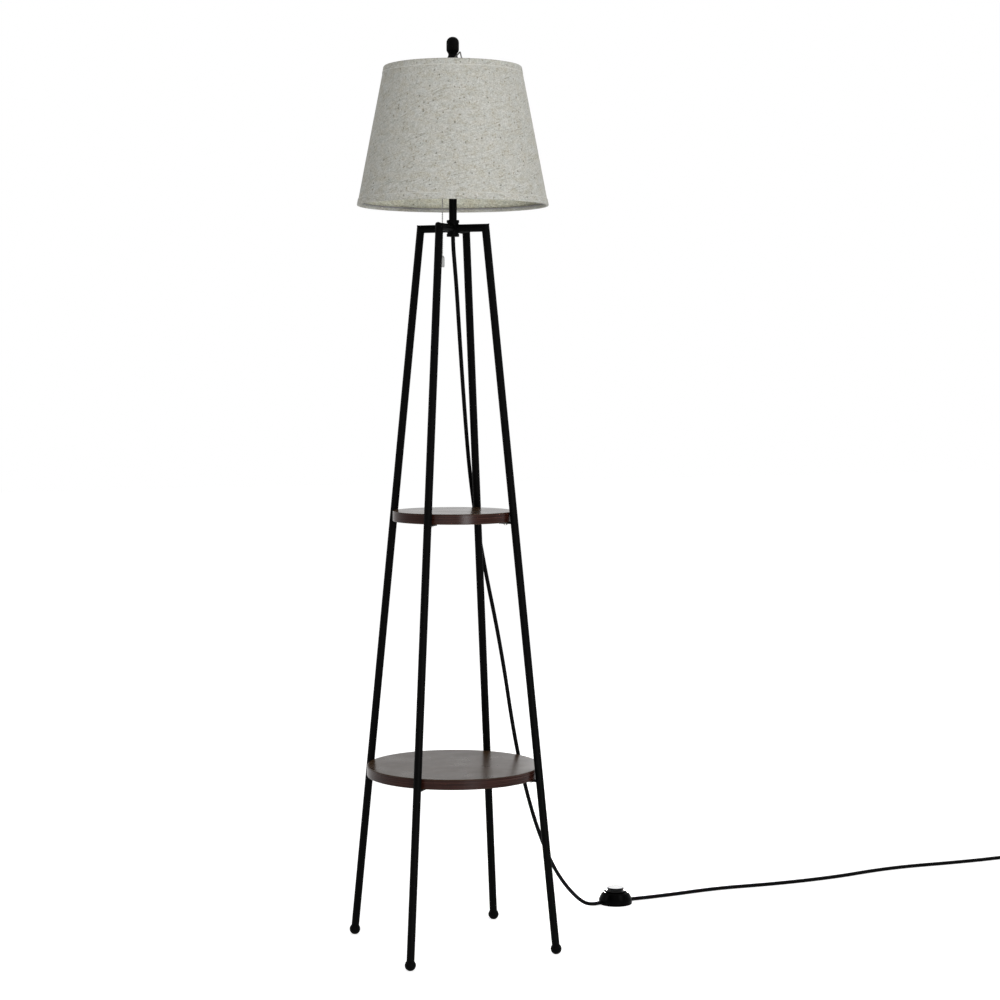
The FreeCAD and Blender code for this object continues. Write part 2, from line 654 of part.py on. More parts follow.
def build_spider():
    bore = "(dims.stud_diameter / 2 + dims.running_gap)"
    edge = "dims.washer_diameter / 2"
    top = washer_bottom + " + dims.washer_thickness"
    keep(lathe("spider_washer", [(bore, washer_bottom), (edge, washer_bottom), (edge, top),
                                 (bore, top)]), "spider_washer")
    ring_height = "(dims.shade_top - dims.trim_thickness - dims.rim_wire / 2)"
    ring = value(shade_radius(ring_height) + " - dims.fabric_thickness - dims.rim_wire")
    base = value(top) + value("dims.spider_wire") / 2
    rim = value(ring_height)
    # Each arm starts on the washer and ends on the wire ring: (out, across, up). The front
    # one climbs over a narrow kink, the other two stay flat.
    start = [(3.4, -8.6, base), (7.8, -4.6, base)]
    kink = [(11.2, -2, base + 4.8), (21.9, 0.4, base + 12.4), (23.9, 0.5, base + 12.4),
            (28.6, 0.6, base)]
    flat = [(14, -1.6, base), (26, 0, base - 1)]
    finish = [(42, 0.4, base - 2.5), (74, 0, (base + rim) / 2 - 2.2), (ring, 0, rim)]
    wires = []
    for label, degrees in zip(("front", "right", "left"), spider_angles):
        turn = math.radians(degrees)
        path = start + (kink if label == "front" else flat) + finish
        points = [(out * math.cos(turn) - across * math.sin(turn),
                   out * math.sin(turn) + across * math.cos(turn), up) for out, across, up in path]
        wires.append(tube_piece("spider_arm_" + label, points, value("dims.spider_wire / 2")))
    group("spider_arms", wires)


def build_finial():
    body = "dims.finial_diameter / 2"
    bore = "(dims.stud_diameter / 2 + dims.running_gap)"
    top = "dims.total_height"
    finial = lathe("finial", [
        (bore, finial_bottom), ("6.6", finial_bottom), ("6.6", top + " - 36.4"),
        ("8.7", top + " - 35.4"), ("8.7", top + " - 33.6"),
        ("8", top + " - 31.6"), ("7.33", top + " - 30.1"), ("7.1", top + " - 28.5"),
        ("7.33", top + " - 26.9"), ("8", top + " - 25.4", "arc", body + " - 0.6", top + " - 23"),
        (body, top + " - 20.6"), (body, top), (0, top),
        (0, stud_foot + " + 18"), (bore, stud_foot + " + 18")])
    keep(round_off(finial, body + " - 0.8", (body, top)), "finial")


def build_bulb():
    neck = stem_top + " + 4.8"
    screw = "13.2 - 0.35"
    tip = neck + " + 33.5"
    cap_top = neck + " + 60.4"
    keep(lathe("bulb_base", [
        (0, tip), ("4.6", tip), ("10.4", tip + " + 4"), (screw, tip + " + 5.5"), (screw, cap_top),
        ("11.8", cap_top), ("11.8", tip + " + 6.5"), (0, tip + " + 5")]), "bulb_base")
    # Pear-shaped glass: a ball that runs into a tapering neck, both hollow.
    waist = cap_top
    shoulder = "(dims.bulb_centre - 18)"
    halves = []
    for label, thickness in (("outside", "0"), ("inside", "1")):
        radius = "(dims.bulb_diameter / 2 - %s)" % thickness
        ball = place(solid("Sphere", "bulb_ball_" + label, Radius=radius), 0, 0, "dims.bulb_centre")
        neck = solid("Cone", "bulb_neck_" + label, Radius1="13.4 - " + thickness,
                     Radius2="sqrt(%s ^ 2 - 18 ^ 2)" % radius, Height="%s - (%s)" % (shoulder, waist))
        place(neck, 0, 0, waist)
        halves.append(fuse("bulb_" + label, ball, neck))
    keep(cut("bulb_glass", *halves), "bulb_glass")


# ---- cord, foot switch and plug ------------------------------------------------------

# Hand-picked route from the spool, behind the back right leg, outside both shelves and
# down to the foot switch.
upper_route = [
    (0, 0, 1171.7), (0, 0, 1149), (3.9, 2.6, 1117), (11.3, 11.9, 1077), (23.1, 28.9, 1006),
    (36.4, 47.3, 926), (50.9, 66.8, 846), (61, 79.4, 792), (70.4, 88.7, 745), (79, 93.4, 700),
    (87.4, 92.2, 655), (97.2, 87.6, 595), (110.2, 78.6, 520), (121.8, 69.6, 440),
    (130.7, 62.5, 365), (140.9, 56.4, 298), (154.4, 53.7, 238), (173.2, 59.2, 182),
    (198.5, 73.5, 130), (226, 92.5, 87), (249.5, 108.7, 59), (267.8, 121, 40.5),
    (284.2, 130.2, 25.3), (298.5, 136, 13.8), (312, 139.2, 5.9), (326.5, 141.2, 3.4)]

# From the foot switch across the floor to the plug.
lower_route = [
    (428, 147.9, 3.5), (454, 149, 3.4), (498, 151.4, 3.4), (558, 157.6, 3.4),
    (614, 157.6, 3.4), (676, 150.6, 3.4), (762, 148.4, 3.4), (846, 154, 3.4),
    (924, 168.4, 3.4), (1000, 173.6, 3.4), (1088, 166.4, 3.4), (1168, 163.4, 3.4),
    (1226, 166, 3.4), (1276, 158, 3.4), (1318, 134, 3.5), (1340, 98, 4), (1345, 66, 5.4),
    (1344, 36, 7)]


def switch_point(along, height):
    # A point on the foot switch's cord line, in the lamp's frame.
    turn = math.radians(value("dims.switch_turn"))
    return (value("dims.switch_x") + along * math.cos(turn),
            value("dims.switch_y") + along * math.sin(turn), height)


def build_cords():
    radius = value("dims.cord_diameter / 2")
    entry = value("dims.cord_entry")
    upper = upper_route + [switch_point(-32, entry), switch_point(-22, entry)]
    lower = [switch_point(22, entry), switch_point(40, entry)] + lower_route
    lower.append((value("dims.plug_x"), value("dims.plug_y"), value("dims.plug_thickness / 2")))
    keep(tube_piece("cord_upper", upper, radius, True), "cord_upper")
    keep(tube_piece("cord_lower", lower, radius, True), "cord_lower")


def on_switch(piece, x="0", y="0", z="0"):
    # Moves a piece from the foot switch's own frame to its place on the floor.
    turn = "dims.switch_turn"
    across = "dims.switch_x + (%s) * cos(%s) - (%s) * sin(%s)" % (x, turn, y, turn)
    along = "dims.switch_y + (%s) * sin(%s) + (%s) * cos(%s)" % (x, turn, y, turn)
    return place(piece, across, along, z, (0, 0, 1), turn)


def build_foot_switch():
    widest = "dims.switch_diameter / 2"
    lip = "dims.switch_lip_height"
    button = "dims.button_diameter / 2"
    passage = solid("Cylinder", "switch_cord_way", Radius="dims.cord_diameter / 2 + 0.1",
                    Height="80")
    place(passage, "dims.switch_x - 40 * cos(dims.switch_turn)",
          "dims.switch_y - 40 * sin(dims.switch_turn)", "dims.cord_entry",
          ("-sin(dims.switch_turn)", "cos(dims.switch_turn)", 0), 90)

    screws = []
    bosses = []
    for number in range(3):
        degrees = 90 + 120 * number
        x = "23.4 * cos(%d)" % degrees
        y = "23.4 * sin(%d)" % degrees
        screw = lathe("switch_screw%d" % (number + 1), [
            (0, 0.3), (2.6, 0.3), (2.6, 0.9), (1.4, 1.1), (1.4, 8.5), (0, 9.5)])
        screws.append(on_switch(screw, x, y))
        boss = solid("Cylinder", "switch_boss%d" % (number + 1), Radius="2.8", Height="8.2")
        turn = "dims.switch_turn"
        place(boss, "dims.switch_x + 23.4 * cos(%d + %s)" % (degrees, turn),
              "dims.switch_y + 23.4 * sin(%d + %s)" % (degrees, turn), "5")
        bosses.append(boss)
    group("switch_screws", screws)

    dish = lathe("switch_dish", [
        (0, 0), (widest + " - 0.7", 0), (widest + " - 0.2", "0.5"), (widest + " - 0.2", "5"),
        (widest + " - 2.4", "5"), (widest + " - 2.4", "1.2"), (0, "1.2")])
    on_switch(dish)
    keep(cut("switch_base", dish, passage, *screws), "switch_base")

    dome = lathe("switch_dome", [
        (widest + " - 2", "5"), (widest, "5"),
        (widest + " - 0.1", "7.4", "arc", widest + " - 2.6", lip + " - 7.8"),
        ("22.6", lip + " - 0.6"), ("21.6", lip), (button + " + 2.7", lip + " - 2.9"),
        (button + " + 2.7", lip + " - 7.6"), ("20.6", lip + " - 4.2"), ("22.2", lip + " - 4.2"),
        (widest + " - 4.2", "12"), (widest + " - 2.4", "9")])
    on_switch(dome)
    keep(cut("switch_cover", fuse("switch_housing", dome, *bosses), passage, *screws), "switch_cover")

    top = "dims.switch_height"
    press = lathe("switch_button", [
        (0, top + " - 2.2"), (0, top), (button, top), (button, top + " - 4.6"),
        (button + " + 1.9", top + " - 5.9"), (button + " + 1.9", top + " - 7.6"),
        (button + " + 0.2", top + " - 9.4"), (button + " + 0.2", "13.2"),
        (button + " + 3.6", "13.2"), (button + " + 3.6", "11.8"), (button + " - 1.6", "11.8"),
        (button + " - 1.6", top + " - 2.2")])
    keep(on_switch(round_off(press, "0.4", (button, top))), "switch_button")

    spring = lathe("switch_spring", [
        ("5.4", "1.2"), ("6.4", "1.2"), ("6.4", top + " - 2.2"), ("5.4", top + " - 2.2")])
    keep(on_switch(spring), "switch_spring")

    contacts = []
    for label, x in (("in", "-22"), ("out", "19.6")):
        post = solid("Box", "terminal_" + label, Length="2.4", Width="8", Height="6.8")
        contacts.append(on_switch(post, x, "-4", "1.2"))
    strip = solid("Box", "contact_strip", Length="9", Width="3.4", Height="1.4")
    contacts.append(on_switch(strip, "-4.5", "-1.7", "1.2"))
    group("switch_contacts", contacts)


def on_plug(piece):
    # The plug lies flat on the floor, its blades towards -Y.
    return place(piece, "dims.plug_x", "dims.plug_y", 0, (0, 0, 1), -90)


def build_plug():
    relief = 26
    length = 34
    body = doc.addObject("PartDesign::Body", "plug_body")
    block = new_sketch(body, "plug_block", "YZ_Plane", relief)
    half = "dims.plug_width / 2"
    high = "dims.plug_thickness"
    outline(block, [("-" + half, 0), (half, 0), (half, high), ("-" + half, high)])
    pad = body.newObject("PartDesign::Pad", "plug_length")
    pad.Profile = block
    pad.Length = length
    doc.recompute()
    fillet = body.newObject("PartDesign::Fillet", "plug_round")
    fillet.Base = (pad, ["Edge%d" % number for number in range(1, 13)])
    fillet.Radius = 2.6
    cone = body.newObject("PartDesign::AdditiveCone", "plug_relief")
    cone.Radius1 = 3.9
    cone.Radius2 = 5.6
    cone.Height = relief + 0.5
    cone.AttachmentSupport = (origin_plane(body, "YZ_Plane"), [""])
    cone.MapMode = "FlatFace"
    cone.setExpression("AttachmentOffset.Base.y", high + " / 2")
    keep(on_plug(body), "plug_body")

    blades = []
    for label, side in (("left", -1), ("right", 1)):
        blade = solid("Box", "blade_" + label, Length="17", Width="1.5", Height="6.3")
        x = "dims.plug_x + %d * 6.35 - 0.75" % side
        y = "dims.plug_y - %d" % (relief + length)
        place(blade, x, y, "dims.plug_thickness / 2 - 3.15", (0, 0, 1), -90)
        blades.append(blade)
    group("plug_blades", blades)


def build_all():
    build_hub()
    for side, degrees in leg_angles.items():
        build_arm(side, degrees)
        build_leg(side, degrees)
        build_foot(side, degrees)
    for level in ("upper", "lower"):
        top = "dims.%s_shelf_top" % level
        build_shelf("shelf_" + level, top, "dims.%s_shelf_diameter" % level)
        build_tabs("shelf_tabs_" + level, top)
        build_screws("shelf_screws_" + level, top)
    build_stem()
    build_lock_nut()
    build_socket()
    build_chain_switch()
    build_harp()
    build_shade()
    build_spider()
    build_finial()
    build_bulb()
    build_cords()
    build_foot_switch()
    build_plug()


def check_and_write():
    doc.recompute()
    for item in doc.Objects:
        if "Invalid" in item.State or "Error" in item.State:
            raise ValueError("%s is in state %s" % (item.Name, item.State))
    for piece in nodes:
        if piece.Shape.isNull() or not piece.Shape.isValid():
            raise ValueError("%s has no valid shape" % piece.Label)
        if not piece.Shape.Solids:
            raise ValueError("%s has no solid" % piece.Label)
    os.makedirs("parts", exist_ok=True)
    for piece in nodes:
        piece.Shape.exportStep("parts/%s.step" % piece.Label)
    print(len(nodes), "sub-parts written")


build_all()
check_and_write()
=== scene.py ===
import math
import bpy
import bmesh
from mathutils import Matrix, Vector


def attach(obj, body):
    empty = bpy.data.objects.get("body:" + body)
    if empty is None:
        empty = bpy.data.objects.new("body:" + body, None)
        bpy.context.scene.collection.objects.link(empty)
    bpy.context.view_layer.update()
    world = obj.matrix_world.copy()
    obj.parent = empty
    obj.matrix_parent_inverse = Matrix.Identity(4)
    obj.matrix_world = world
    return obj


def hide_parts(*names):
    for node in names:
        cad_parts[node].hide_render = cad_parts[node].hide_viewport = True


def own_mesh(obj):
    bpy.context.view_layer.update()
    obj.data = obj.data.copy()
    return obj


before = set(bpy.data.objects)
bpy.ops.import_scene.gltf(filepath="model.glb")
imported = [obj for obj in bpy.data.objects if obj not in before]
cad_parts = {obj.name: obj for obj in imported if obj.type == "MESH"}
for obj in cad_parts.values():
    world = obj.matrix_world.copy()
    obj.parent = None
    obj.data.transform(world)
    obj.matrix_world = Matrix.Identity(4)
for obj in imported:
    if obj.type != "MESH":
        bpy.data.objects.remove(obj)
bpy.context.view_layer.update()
print("frame loaded:", len(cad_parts), "nodes")

up = Vector((0, 0, 1))

# where the photographer stood
cameraPlace = {
    "eye": (-1.40232, -3.37497, 0.94403),
    "turn": -23.758,          # degrees about Z
    "lookDown": 3.30984,      # degrees below the horizon
    "lens": 80.826, "sensor": 36,
    "farEnd": 60,
}


def makeCamera():
    lens = bpy.data.cameras.new("photoCamera")
    lens.sensor_width = cameraPlace["sensor"]
    lens.lens = cameraPlace["lens"]
    lens.clip_end = cameraPlace["farEnd"]
    camera = bpy.data.objects.new("photoCamera", lens)
    bpy.context.scene.collection.objects.link(camera)
    camera.location = cameraPlace["eye"]
    tilt = math.radians(90 - cameraPlace["lookDown"])
    camera.rotation_euler = (tilt, 0, math.radians(cameraPlace["turn"]))
    bpy.context.scene.camera = camera


makeCamera()

socketNames = {
    "color": "Base Color", "metallic": "Metallic", "roughness": "Roughness", "ior": "IOR",
    "specular": "Specular IOR Level", "sheen": "Sheen Weight",
    "sheenRoughness": "Sheen Roughness", "transmission": "Transmission Weight",
}


def newMaterial(name, **shaderValues):
    material = bpy.data.materials.new(name)
    material.use_nodes = True
    tree = material.node_tree
    shader = tree.nodes["Principled BSDF"]
    for socket, amount in shaderValues.items():
        shader.inputs[socketNames[socket]].default_value = amount
    return material, tree, shader


def addNode(tree, kind, inputs=None, **settings):
    made = tree.nodes.new("ShaderNode" + kind)
    for setting, choice in settings.items():
        setattr(made, setting, choice)
    for socket, source in (inputs or {}).items():
        if isinstance(source, bpy.types.NodeSocket):
            tree.links.new(source, made.inputs[socket])
        else:
            made.inputs[socket].default_value = source
    return made


def ramp(tree, factor, stops):
    # stops: (position, grey level or colour)
    made = tree.nodes.new("ShaderNodeValToRGB")
    tree.links.new(factor, made.inputs["Fac"])
    steps = made.color_ramp.elements
    while len(steps) < len(stops):
        steps.new(0.5)
    for step, (position, tone) in zip(steps, stops):
        step.position = position
        step.color = (tone, tone, tone, 1) if isinstance(tone, (int, float)) else (*tone, 1)
    return made.outputs["Color"]


def between(tree, factor, low, high):
    # follows a noise from its low patches to its high ones
    return ramp(tree, factor, [(0.3, low), (0.7, high)])


def blendColors(tree, factor, first, second, kind="MIX"):
    mix = addNode(tree, "Mix", data_type="RGBA", blend_type=kind, clamp_factor=True)
    for socket, source in ((0, factor), (6, first), (7, second)):
        if isinstance(source, bpy.types.NodeSocket):
            tree.links.new(source, mix.inputs[socket])
        elif isinstance(source, tuple) and len(source) == 3:
            mix.inputs[socket].default_value = (*source, 1)
        else:
            mix.inputs[socket].default_value = source
    return mix.outputs[2]


def combine(tree, first, second, kind="MULTIPLY"):
    return addNode(tree, "Math", {0: first, 1: second}, operation=kind).outputs[0]


def noise(tree, where, scale, detail=3, roughness=0.55, distortion=0.0):
    made = addNode(tree, "TexNoise", {"Vector": where, "Scale": scale, "Detail": detail,
                                      "Roughness": roughness, "Distortion": distortion})
    return made.outputs["Fac"]


def stretched(tree, where, scale, turn=0.0):
    made = addNode(tree, "Mapping", {"Vector": where, "Scale": scale,
                                     "Rotation": (0, 0, math.radians(turn))})
    return made.outputs["Vector"]


def objectSpace(tree):
    return addNode(tree, "TexCoord").outputs["Object"]


def addBump(tree, shader, height, strength, distance):
    bump = addNode(tree, "Bump", {"Height": height, "Strength": strength, "Distance": distance})
    tree.links.new(bump.outputs["Normal"], shader.inputs["Normal"])


def link(tree, source, shader, name):
    tree.links.new(source, shader.inputs[socketNames[name]])


def smooth(piece, degrees=32):
    piece.data.polygons.foreach_set("use_smooth", [True] * len(piece.data.polygons))
    piece.data.set_sharp_from_angle(angle=math.radians(degrees))


def wear(*names, material):
    # gives CAD pieces their finish and soft shading between facets
    for name in names:
        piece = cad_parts[name]
        piece.data.materials.clear()
        piece.data.materials.append(material)
        smooth(piece)


def meshPiece(name, vertices, faces, material, body, smoothDegrees=40):
    mesh = bpy.data.meshes.new(name)
    mesh.from_pydata([tuple(v) for v in vertices], [], faces)
    mesh.validate()
    piece = bpy.data.objects.new(name, mesh)
    bpy.context.scene.collection.objects.link(piece)
    mesh.materials.append(material)
    smooth(piece, smoothDegrees)
    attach(piece, body)
    return piece


def skinFaces(rings, around, closed=True, turned=False):
    # quads between neighbouring rings of points
    faces = []
    for ring in range(rings if closed else rings - 1):
        after = (ring + 1) % rings
        for step in range(around):
            side = (step + 1) % around
            a, b = ring * around + step, ring * around + side
            c, d = after * around + side, after * around + step
            faces.append((a, d, c, b) if turned else (a, b, c, d))
    return faces


coatLook = {
    "shine": 0.025,
    "roughness": (0.42, 0.56),
    "tone": (0.001, 0.0018),
    "patchScale": 14,
    "peelScale": 900, "peel": 0.1,
}


def makeBlackCoat():
    # satin powder coat: nearly black, faint orange peel, a few softer patches
    material, tree, shader = newMaterial("satinBlackCoat", roughness=0.5,
                                         specular=coatLook["shine"])
    where = objectSpace(tree)
    patches = noise(tree, where, coatLook["patchScale"], 4)
    link(tree, between(tree, patches, *coatLook["roughness"]), shader, "roughness")
    link(tree, between(tree, patches, *coatLook["tone"]), shader, "color")
    peel = noise(tree, where, coatLook["peelScale"], 2)
    addBump(tree, shader, peel, coatLook["peel"], 0.0002)
    return material


boardLook = {
    "upperPolish": 0.21, "lowerPolish": 0.29,     # roughness of the tops
    "shine": 0.08,
    "grainStretch": (3, 60, 60), "grainScale": 3.2,
    "tones": [(0.3, (0.026, 0.014, 0.006)), (0.55, (0.04, 0.022, 0.011)),
              (0.75, (0.054, 0.03, 0.016))],
    "rubScale": 22, "rubbed": (0.88, 1.12),       # share of the polish
    "relief": 0.015,
}


def makeBoardTop(name, polish):
    # glossy dark walnut, straight grain
    material, tree, shader = newMaterial(name, roughness=polish, specular=boardLook["shine"])
    where = objectSpace(tree)
    grain = noise(tree, stretched(tree, where, boardLook["grainStretch"]),
                  boardLook["grainScale"], 6, 0.65, 0.6)
    link(tree, ramp(tree, grain, boardLook["tones"]), shader, "color")
    rub = noise(tree, where, boardLook["rubScale"], 3)
    low, high = boardLook["rubbed"]
    link(tree, between(tree, rub, polish * low, polish * high), shader, "roughness")
    addBump(tree, shader, grain, boardLook["relief"], 0.0002)
    return material


edgeLook = {
    "shine": 0.115,
    "roughness": (0.23, 0.31),
    "streakStretch": (9, 520, 1), "poreStretch": (60, 1900, 1),
    "tones": [(0.3, (0.0095, 0.002, 0.001)), (0.46, (0.02, 0.0056, 0.0035)),
              (0.56, (0.03, 0.0094, 0.006)), (0.7, (0.058, 0.022, 0.016))],
    "pores": [(0.52, 0.0), (0.64, 0.6)], "poreTone": (0.006, 0.002, 0.0015),
    "relief": 0.08,
}


def makeEdgeWood():
    # band glued round the boards, its grain running round the edge
    material, tree, shader = newMaterial("edgeWood", roughness=0.27, specular=edgeLook["shine"])
    skin = addNode(tree, "UVMap", uv_map="grain").outputs["UV"]
    streaks = noise(tree, stretched(tree, skin, edgeLook["streakStretch"]), 1, 5, 0.7, 0.3)
    pores = noise(tree, stretched(tree, skin, edgeLook["poreStretch"]), 1, 3, 0.7)
    tone = blendColors(tree, ramp(tree, pores, edgeLook["pores"]),
                       ramp(tree, streaks, edgeLook["tones"]), edgeLook["poreTone"])
    link(tree, tone, shader, "color")
    link(tree, between(tree, streaks, *edgeLook["roughness"]), shader, "roughness")
    addBump(tree, shader, streaks, edgeLook["relief"], 0.0002)
    return material


# slubby linen; its patterns are laid in metres round and up the shade
linenLook = {
    # the lining's tint paints the inside paler than the outside: painted light standing in for
    # light shining through the shade
    "outsideTint": (0.98, 0.98, 0.97), "liningPaintedLightTint": (1.3, 1.3, 1.19),
    "roughness": 0.92, "shine": 0.1, "fuzz": 0.08, "fuzzRoughness": 0.5,
    "patchStretch": (60, 80, 1),
    "patchTones": [(0.36, (0.47, 0.45, 0.388)), (0.5, (0.5, 0.495, 0.455)),
                   (0.64, (0.515, 0.522, 0.495))],
    "mottleStretch": (300, 340, 1),
    "darkYarns": [(0.3, 0.6), (0.46, 0.88), (0.6, 1.0)],
    "paleYarns": [(0.54, 0.0), (0.7, 0.6)], "paleYarnTone": (0.66, 0.66, 0.635),
    # curly fibres: stretch, width, strength, colour
    "fibres": [((190, 210, 1), 0.045, 0.36, (0.25, 0.24, 0.19)),
               ((150, 185, 0.4), 0.04, 0.42, (0.66, 0.66, 0.63))],
    # slubs: stretch, slope in degrees, first and full noise level, strength, colour;
    # dark and pale ones climb to the right, short brown ones stand upright
    "slubs": [((27, 560, 1), -16, 0.58, 0.62, 0.5, (0.2, 0.195, 0.16)),
              ((34, 480, 1.3), -28, 0.585, 0.635, 0.34, (0.68, 0.68, 0.65)),
              ((520, 110, 1), 14, 0.6, 0.68, 0.5, (0.24, 0.22, 0.16))],
    "slubGroups": (30, 42, 1),
    "fleckScale": 120.0, "fleckSize": [(0.1, 1.0), (0.21, 0.0)],
    "fleckChoice": [(0.74, 0.0), (0.93, 0.75)],
    "fleckTones": [(0.4, (0.19, 0.165, 0.11)), (0.6, (0.1, 0.098, 0.075))],
    "raggedScale": 380.0, "raggedness": 0.004,
    "weaveScale": 340.0, "weaveDistortion": 1.2, "weaveRelief": 0.3,
    "bandStart": 5.0,                             # cloth height at the band's outer edge
    # the fold's edge and tone paint a highlight along the band's folded edge
    "foldHighlightEdge": [(0.09, 0.6), (0.15, 0.0)], "foldHighlightTone": (0.66, 0.66, 0.62),
    "darkLineEdge": [(0.19, 0.0), (0.197, 0.6)], "darkLineTone": (0.16, 0.155, 0.19),
}


def curlyFibres(tree, where, scale, width):
    # thin wandering lines: 1 on the line, 0 beside it
    waves = noise(tree, stretched(tree, where, scale), 1, 2, 0.6, 0.8)
    away = combine(tree, combine(tree, waves, 0.5, "SUBTRACT"), 0.0, "ABSOLUTE")
    return ramp(tree, away, [(width * 0.4, 1.0), (width, 0.0)])


def slubLines(tree, where, scale, turn, start, finish):
    # thin streaks along one direction, in loose groups
    turned = stretched(tree, where, (1, 1, 1), turn)
    lines = noise(tree, stretched(tree, turned, scale), 1, 2, 0.5)
    groups = noise(tree, stretched(tree, where, linenLook["slubGroups"]), 1, 2, 0.6)
    return combine(tree, ramp(tree, lines, [(start, 0.0), (finish, 1.0)]),
                   ramp(tree, groups, [(0.4, 0.25), (0.62, 1.0)]))


def addFlecks(tree, cloth, tone):
    # small ochre and brown flecks of uneven shape
    wander = addNode(tree, "TexNoise", {"Vector": cloth, "Scale": linenLook["raggedScale"]})
    shift = addNode(tree, "VectorMath", {0: wander.outputs["Color"],
                                         "Scale": linenLook["raggedness"]}, operation="SCALE")
    ragged = addNode(tree, "VectorMath", {0: cloth, 1: shift.outputs[0]}, operation="ADD")
    spots = addNode(tree, "TexVoronoi", {"Vector": ragged.outputs[0], "Randomness": 1.0,
                                         "Scale": linenLook["fleckScale"]},
                    feature="F1", voronoi_dimensions="2D")
    spotSize = ramp(tree, spots.outputs["Distance"], linenLook["fleckSize"])
    chosen = addNode(tree, "SeparateColor", {0: spots.outputs["Color"]})
    rare = ramp(tree, chosen.outputs[0], linenLook["fleckChoice"])
    fleckTone = ramp(tree, chosen.outputs[1], linenLook["fleckTones"])
    return blendColors(tree, combine(tree, spotSize, rare), tone, fleckTone)


def addBandEdges(tree, cloth, tone):
    height = addNode(tree, "SeparateXYZ", {0: cloth}).outputs["Y"]
    along = combine(tree, height, linenLook["bandStart"], "SUBTRACT")
    # painted highlight: the folded edge is painted paler where it stands off the cloth and
    # catches the light
    foldHighlight = ramp(tree, combine(tree, along, 100.0), linenLook["foldHighlightEdge"])
    tone = blendColors(tree, foldHighlight, tone, linenLook["foldHighlightTone"])
    # inside, a dark line along the band's free edge
    darkLine = ramp(tree, combine(tree, along, 10.0), linenLook["darkLineEdge"])
    return blendColors(tree, darkLine, tone, linenLook["darkLineTone"])


def makeLinen(name, tint, banded=False):
    material, tree, shader = newMaterial(name, roughness=linenLook["roughness"],
                                         specular=linenLook["shine"], sheen=linenLook["fuzz"],
                                         sheenRoughness=linenLook["fuzzRoughness"])
    cloth = addNode(tree, "UVMap", uv_map="cloth").outputs["UV"]
    patches = noise(tree, stretched(tree, cloth, linenLook["patchStretch"]), 1, 3, 0.65)
    tone = ramp(tree, patches, linenLook["patchTones"])
    # fine mottle of light and dark yarns
    mottle = noise(tree, stretched(tree, cloth, linenLook["mottleStretch"]), 1, 4, 0.78)
    tone = blendColors(tree, 1.0, tone, ramp(tree, mottle, linenLook["darkYarns"]), "MULTIPLY")
    tone = blendColors(tree, ramp(tree, mottle, linenLook["paleYarns"]), tone,
                       linenLook["paleYarnTone"])
    for scale, width, strength, fibreTone in linenLook["fibres"]:
        fibres = curlyFibres(tree, cloth, scale, width)
        tone = blendColors(tree, combine(tree, fibres, strength), tone, fibreTone)
    for scale, slope, start, full, strength, slubTone in linenLook["slubs"]:
        slubs = slubLines(tree, cloth, scale, slope, start, full)
        tone = blendColors(tree, combine(tree, slubs, strength), tone, slubTone)
    tone = addFlecks(tree, cloth, tone)
    if banded:
        tone = addBandEdges(tree, cloth, tone)
    link(tree, blendColors(tree, 1.0, tone, tint, "MULTIPLY"), shader, "color")
    threads = [addNode(tree, "TexWave", {"Vector": cloth, "Scale": linenLook["weaveScale"],
                                         "Distortion": linenLook["weaveDistortion"],
                                         "Detail": 2.0, "Detail Scale": 2.0},
                       bands_direction=way).outputs["Fac"] for way in ("X", "Y")]
    height = combine(tree, combine(tree, *threads), mottle, "ADD")
    addBump(tree, shader, height, linenLook["weaveRelief"], 0.0003)
    return material


# grain is the fine moulded texture
plastics = {
    "cordVinyl": {"color": (0.001, 0.001, 0.0011), "roughness": 0.45, "specular": 0.03},
    "switchPlastic": {"color": (0.0008, 0.0008, 0.0009), "roughness": 0.24, "specular": 0.02},
    "buttonPlastic": {"color": (0.0008, 0.0008, 0.0009), "roughness": 0.12, "specular": 0.1,
                      "grainScale": 900, "grain": 0.02},
    "fobPlastic": {"color": (0.33, 0.33, 0.325), "roughness": 0.35, "specular": 0.35},
    "darkPhenolic": {"color": (0.035, 0.022, 0.014), "roughness": 0.5, "specular": 0.35},
}


def makePlastic(name, color, roughness, specular, grainScale=1600, grain=0.12):
    material, tree, shader = newMaterial(name, color=(*color, 1), specular=specular)
    where = objectSpace(tree)
    patches = noise(tree, where, 60, 3)
    link(tree, between(tree, patches, roughness * 0.85, roughness * 1.2), shader, "roughness")
    brighter = tuple(channel * 1.25 for channel in color)
    link(tree, blendColors(tree, patches, color, brighter), shader, "color")
    addBump(tree, shader, noise(tree, where, grainScale, 2), grain, 0.00015)
    return material


# colour and roughness
metals = {
    "zincPlate": ((0.6, 0.6, 0.58), 0.3),
    "chainNickel": ((0.36, 0.36, 0.35), 0.28),
    "spiderSteel": ((0.1, 0.1, 0.095), 0.3),
    "socketBrass": ((0.74, 0.56, 0.27), 0.26),
    "bulbCapMetal": ((0.72, 0.72, 0.7), 0.34),
}


def makeMetal(name, color, roughness, scratches=(900, 900, 40)):
    material, tree, shader = newMaterial(name, color=(*color, 1), metallic=1.0)
    where = objectSpace(tree)
    lines = noise(tree, stretched(tree, where, scratches), 1, 3, 0.6)
    link(tree, between(tree, lines, roughness * 0.8, roughness * 1.3), shader, "roughness")
    dull = tuple(channel * 0.8 for channel in color)
    link(tree, blendColors(tree, noise(tree, where, 70, 3), color, dull), shader, "color")
    addBump(tree, shader, lines, 0.05, 0.0001)
    return material


glassLook = {
    "roughness": 0.32, "clearness": 0.25, "ior": 1.45,
    "powderScale": 220, "powderTones": ((0.82, 0.82, 0.8), (0.93, 0.93, 0.91)),
}


